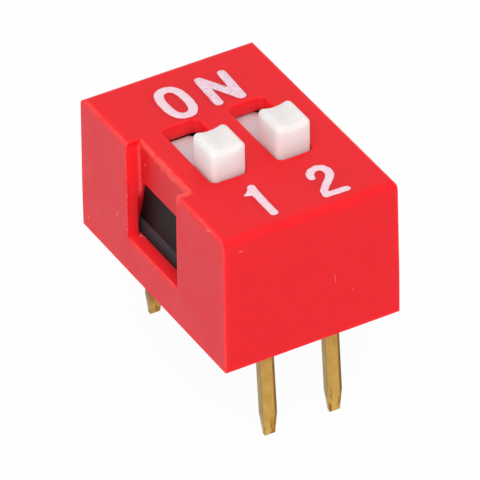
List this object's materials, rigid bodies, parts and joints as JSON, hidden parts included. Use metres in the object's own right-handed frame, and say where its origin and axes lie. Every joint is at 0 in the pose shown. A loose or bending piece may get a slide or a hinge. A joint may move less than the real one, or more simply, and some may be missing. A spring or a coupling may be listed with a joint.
{
  "type": "dip switch",
  "caption": "Slide DIP switch with a red cover clipped over a black base, white slides in open slots, and flat pins for through-hole mounting.",
  "frame": {"origin": "centre of the cover's rim, on the board surface that the rim stands on", "axes": "+X along the row of switches, +Y from the numbered side to the ON side, +Z away from the board"},
  "size_m": [0.0068, 0.0098, 0.0105],
  "materials": {
    "red_cover": "satin moulded PBT",
    "black_base": "matt moulded glass-filled PBT",
    "white_slide": "satin, slightly translucent moulded nylon",
    "gold_terminal": "stamped brass with thin gold plating",
    "gold_spring": "gold-plated spring bronze"
  },
  "bodies": {
    "housing": {"cover": "red_cover", "base": "black_base", "terminal_1_front": "gold_terminal", "terminal_1_rear": "gold_terminal", "terminal_2_front": "gold_terminal", "terminal_2_rear": "gold_terminal"},
    "slider_1": {"actuator_1": "white_slide", "moving_contact_1": "gold_spring"},
    "slider_2": {"actuator_2": "white_slide", "moving_contact_2": "gold_spring"}
  },
  "joints": [
    {"name": "slide_1", "type": "slide", "parent": "housing", "child": "slider_1", "axis": [0, 1, 0], "range_m": [0, 0.002]},
    {"name": "slide_2", "type": "slide", "parent": "housing", "child": "slider_2", "axis": [0, 1, 0], "range_m": [-0.00007, 0.00193]}
  ]
}
